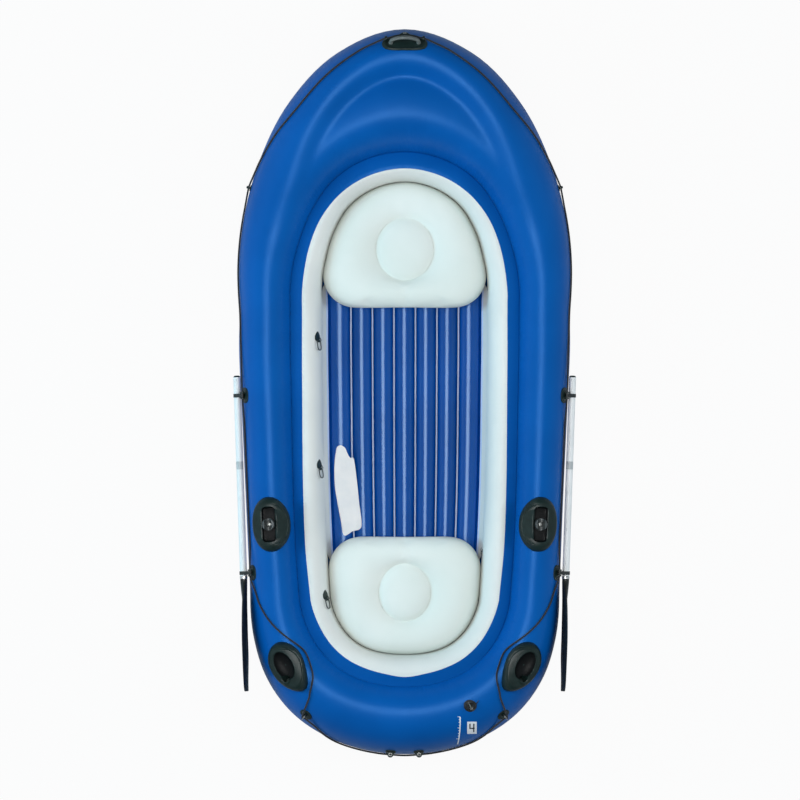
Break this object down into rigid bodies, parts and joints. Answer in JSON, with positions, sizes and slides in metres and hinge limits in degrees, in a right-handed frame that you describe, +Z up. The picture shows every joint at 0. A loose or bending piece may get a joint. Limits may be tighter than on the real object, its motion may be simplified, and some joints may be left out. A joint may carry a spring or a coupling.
{
  "type": "inflatable fishing boat",
  "caption": "Inflatable boat with twin side chambers, tubed air floor, two blown seats, swivel oarlocks, stowed two-part oars, rod holders and a grab line.",
  "frame": {"origin": "on the ground under the middle of the hull's length and width", "axes": "+Y towards the bow, +X to the boat's right, +Z up"},
  "size_m": [1.3338, 2.8318, 0.4364],
  "materials": {
    "blue_skin": "glossy air-filled vinyl skin, welded seams",
    "white_skin": "satin vinyl skin, welded seams",
    "white_pocket": "thin coated cloth",
    "black_rope": "braided cord",
    "black_rubber": "moulded, satin",
    "strap_rubber": "soft moulded strap",
    "grey_grip": "smooth moulded bar",
    "steel": "polished",
    "shaft_aluminium": "drawn tube, satin",
    "black_plastic": "moulded, fine grain",
    "valve_plastic": "moulded",
    "clear_vinyl": "soft moulded stopper"
  },
  "bodies": {
    "hull": {"hull_outer_chamber": "blue_skin", "hull_inner_chamber": "white_skin", "floor_chamber": "blue_skin", "bottom_sheet": "blue_skin", "bow_handle_pad": "black_rubber", "bow_handle_grip": "grey_grip", "towing_eye": "steel", "grab_line": "black_rope", "bow_loop_left": "black_rubber", "bow_loop_right": "black_rubber", "quarter_patch_left": "black_rubber", "quarter_patch_right": "black_rubber", "quarter_ring_left": "steel", "quarter_ring_right": "steel", "stern_tab_left": "black_rubber", "stern_tab_right": "black_rubber", "stern_eyelet_left": "steel", "stern_eyelet_right": "steel", "oar_keeper_front_left": "black_rubber", "oar_keeper_front_right": "black_rubber", "oar_keeper_rear_left": "black_rubber", "oar_keeper_rear_right": "black_rubber", "keeper_strap_front_left": "strap_rubber", "keeper_strap_front_right": "strap_rubber", "keeper_strap_rear_left": "strap_rubber", "keeper_strap_rear_right": "strap_rubber", "oarlock_base_left": "black_rubber", "oarlock_base_right": "black_rubber", "oarlock_pin_left": "steel", "oarlock_pin_right": "steel", "rod_holder_left": "black_rubber", "rod_holder_right": "black_rubber", "main_valve_body": "black_rubber", "main_valve_plug": "valve_plastic", "inner_chamber_valve": "clear_vinyl", "floor_valve": "clear_vinyl", "gear_loop_tab_1": "black_rubber", "gear_loop_tab_2": "black_rubber", "gear_loop_tab_3": "black_rubber"},
    "valve_cap": {"main_valve_cap": "valve_plastic"},
    "oar_left": {"oar_cap_left": "black_plastic", "oar_upper_shaft_left": "shaft_aluminium", "oar_sleeve_left": "black_plastic", "oar_lower_shaft_left": "shaft_aluminium", "oar_blade_left": "black_plastic"},
    "oar_right": {"oar_cap_right": "black_plastic", "oar_upper_shaft_right": "shaft_aluminium", "oar_sleeve_right": "black_plastic", "oar_lower_shaft_right": "shaft_aluminium", "oar_blade_right": "black_plastic"},
    "fork_left": {"oarlock_fork_left": "black_plastic"},
    "fork_right": {"oarlock_fork_right": "black_plastic"},
    "bow_seat": {"bow_seat": "white_skin", "bow_seat_valve": "clear_vinyl"},
    "stern_seat": {"stern_seat": "white_skin", "stern_seat_valve": "clear_vinyl"},
    "gear_ring_1": {"gear_loop_ring_1": "steel"},
    "gear_ring_2": {"gear_loop_ring_2": "steel"},
    "gear_ring_3": {"gear_loop_ring_3": "steel"},
    "pouch": {"gear_pouch": "white_pocket"}
  },
  "joints": [
    {"name": "oarlock_left_turn", "type": "hinge", "parent": "hull", "child": "fork_left", "pos_m": [-0.52401, -0.51399, 0.29918], "axis": [-0.157, -0.0079, 0.9876], "range_deg": [-69, 69]},
    {"name": "oarlock_right_turn", "type": "hinge", "parent": "hull", "child": "fork_right", "pos_m": [0.52401, -0.51399, 0.29918], "axis": [0.157, -0.0079, 0.9876], "range_deg": [-69, 69]},
    {"name": "oar_left_slide", "type": "slide", "parent": "hull", "child": "oar_left", "axis": [0.0342, -0.9994, 0], "range_m": [0, 0.8]},
    {"name": "oar_right_slide", "type": "slide", "parent": "hull", "child": "oar_right", "axis": [-0.0342, -0.9994, 0], "range_m": [0, 0.8]},
    {"name": "main_valve_cap_turn", "type": "hinge", "parent": "hull", "child": "valve_cap", "pos_m": [0.25399, -1.21848, 0.31653], "axis": [0.0684, -0.1261, 0.9896], "range_deg": [0, 540]},
    {"name": "bow_seat_lift", "type": "slide", "parent": "hull", "child": "bow_seat", "axis": [0, 0, 1], "range_m": [0, 0.25]},
    {"name": "stern_seat_lift", "type": "slide", "parent": "hull", "child": "stern_seat", "axis": [0, 0, 1], "range_m": [0, 0.25]},
    {"name": "gear_ring_1_swing", "type": "hinge", "parent": "hull", "child": "gear_ring_1", "pos_m": [-0.33432, 0.19801, 0.2277], "axis": [-0.4037, -0.0003, 0.9149], "range_deg": [0, 150]},
    {"name": "gear_ring_2_swing", "type": "hinge", "parent": "hull", "child": "gear_ring_2", "pos_m": [-0.32689, -0.29886, 0.22765], "axis": [-0.3958, -0.0092, 0.9183], "range_deg": [0, 150]},
    {"name": "gear_ring_3_swing", "type": "hinge", "parent": "hull", "child": "gear_ring_3", "pos_m": [-0.30212, -0.80642, 0.22762], "axis": [-0.391, -0.0281, 0.9199], "range_deg": [0, 150]},
    {"name": "pouch_lift", "type": "slide", "parent": "hull", "child": "pouch", "axis": [0, 0, 1], "range_m": [0, 0.15]}
  ]
}
